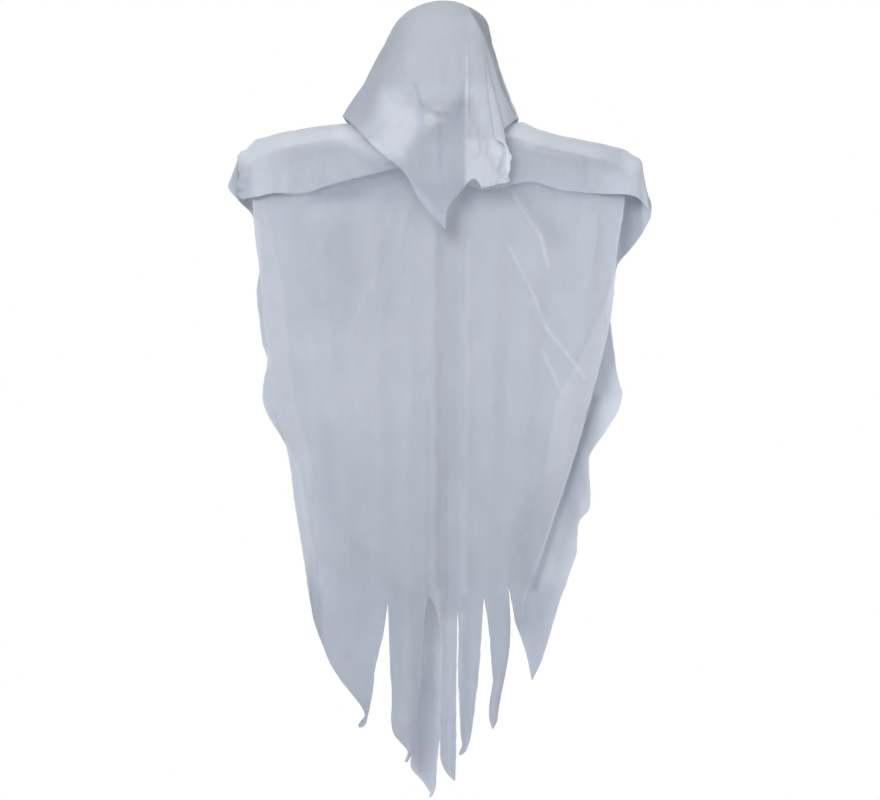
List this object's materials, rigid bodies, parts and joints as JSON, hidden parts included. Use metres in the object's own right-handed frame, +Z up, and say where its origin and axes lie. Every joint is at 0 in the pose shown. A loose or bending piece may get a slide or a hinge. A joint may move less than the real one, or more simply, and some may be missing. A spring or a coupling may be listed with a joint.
{
  "type": "hanging ghost decoration",
  "caption": "Hanging ghost of pale sheer cloth: a draped foam head on a wire, padded wire arms and a robe with a hem cut into pointed strips.",
  "frame": {"origin": "the point on top of the veil's crown, over the stem's eye, where the ghost hangs", "axes": "+Z up along the stem, -Y towards the front, +X along the arms to the right in the picture"},
  "size_m": [0.5263, 0.1449, 0.997],
  "materials": {
    "foam": "white foam",
    "wire": "plain steel wire",
    "padding": "white wadding",
    "tie": "cream cotton tape",
    "robe_cloth": "sheer pale grey gauze",
    "veil_cloth": "sheer pale grey gauze"
  },
  "bodies": {
    "root": {"head_form": "foam", "stem_wire": "wire", "arm_wire": "wire", "arm_pad_left": "padding", "arm_pad_right": "padding", "neck_tie": "tie", "robe_front": "robe_cloth", "robe_back": "robe_cloth", "head_veil": "veil_cloth"}
  },
  "joints": []
}
